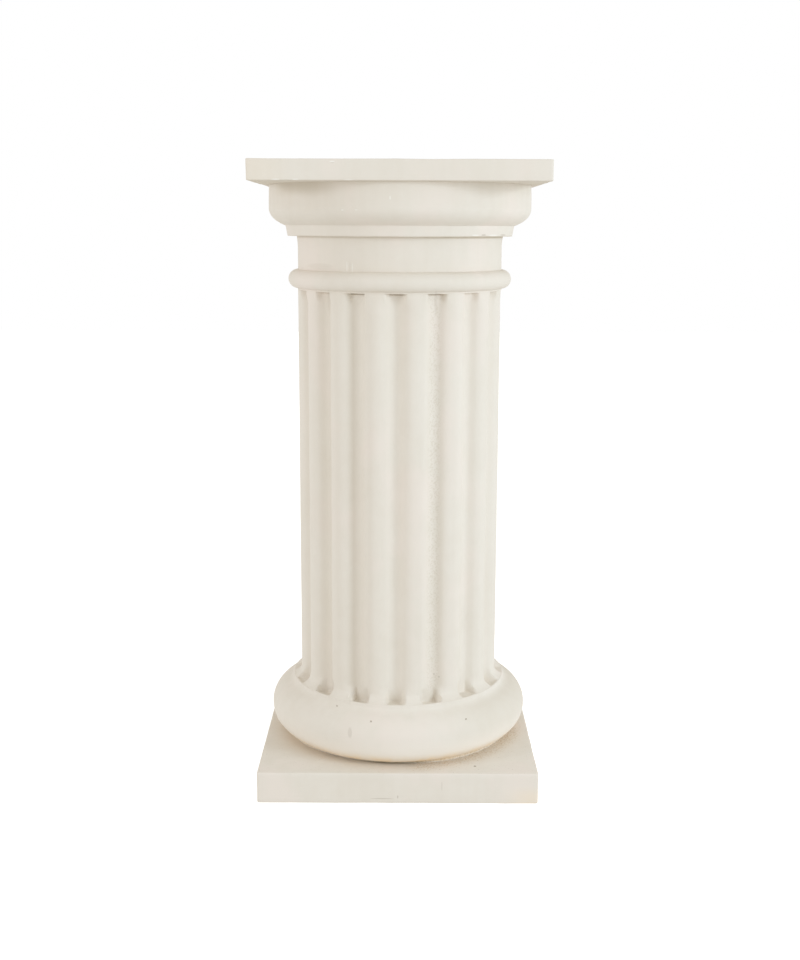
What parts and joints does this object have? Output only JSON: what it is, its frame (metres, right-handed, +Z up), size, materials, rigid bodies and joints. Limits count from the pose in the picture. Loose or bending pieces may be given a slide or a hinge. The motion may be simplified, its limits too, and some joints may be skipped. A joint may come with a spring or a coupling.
{
  "type": "doric column",
  "caption": "Short fluted doric pedestal column of cast plaster, with square plinth, round base roll, neck ring, round capital and square top slab.",
  "frame": {"origin": "middle of the plinth's underside, on the ground", "axes": "+Z up along the column's axis; -Y is the front, square to a side of the plinth and the top slab, and a flute faces it"},
  "size_m": [0.341, 0.341, 0.76],
  "materials": {
    "cast_plaster": "matt, bare cast plaster, warm off-white, with small air holes, worn edges and a faint damp stain round the foot of the base roll"
  },
  "bodies": {
    "root": {"column": "cast_plaster"}
  },
  "joints": []
}
